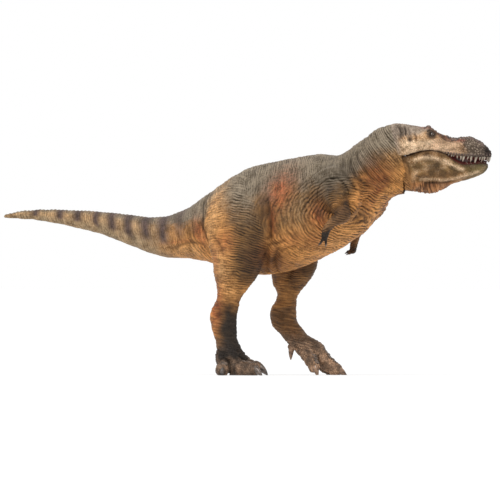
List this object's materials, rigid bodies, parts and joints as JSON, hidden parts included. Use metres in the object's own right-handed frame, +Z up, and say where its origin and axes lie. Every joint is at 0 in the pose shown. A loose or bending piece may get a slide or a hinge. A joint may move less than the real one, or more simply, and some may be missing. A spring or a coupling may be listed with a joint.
{
  "type": "toy dinosaur figure",
  "caption": "Painted vinyl toy figure of a large two-legged meat-eating dinosaur in mid stride, with a jaw that opens and arms that swing.",
  "frame": {"origin": "on the ground, under the middle of the figure's bounding box", "axes": "+X towards the head, +Y to the animal's left, +Z up"},
  "size_m": [0.3196, 0.0766, 0.1556],
  "materials": {
    "hide": "matte painted vinyl, olive back and ochre belly",
    "dark_hide": "matte painted vinyl, grey brown",
    "bone": "satin ivory",
    "flesh": "satin pink",
    "eye_gloss": "high gloss",
    "steel": "drawn wire"
  },
  "bodies": {
    "body": {"torso_right_half": "hide", "torso_left_half": "hide", "neck": "hide", "skull": "hide", "upper_teeth": "bone", "right_eye": "eye_gloss", "left_eye": "eye_gloss", "jaw_pin": "steel", "tail": "hide", "tail_wire": "steel", "right_leg": "hide", "left_leg": "hide", "right_foot": "dark_hide", "left_foot": "dark_hide", "right_leg_wire": "steel", "left_leg_wire": "steel"},
    "jaw": {"jaw": "hide", "lower_teeth": "bone", "tongue": "flesh"},
    "right_arm": {"right_arm": "dark_hide"},
    "left_arm": {"left_arm": "dark_hide"}
  },
  "joints": [
    {"name": "jaw_hinge", "type": "hinge", "parent": "body", "child": "jaw", "pos_m": [0.11122, 0.01227, 0.13263], "axis": [-0.4226, 0.9063, 0], "range_deg": [0, 18]},
    {"name": "right_shoulder", "type": "hinge", "parent": "body", "child": "right_arm", "pos_m": [0.07685, -0.02173, 0.111], "axis": [0, 1, 0], "range_deg": [-35, 20]},
    {"name": "left_shoulder", "type": "hinge", "parent": "body", "child": "left_arm", "pos_m": [0.07685, 0.02627, 0.111], "axis": [0, 1, 0], "range_deg": [-35, 20]}
  ]
}
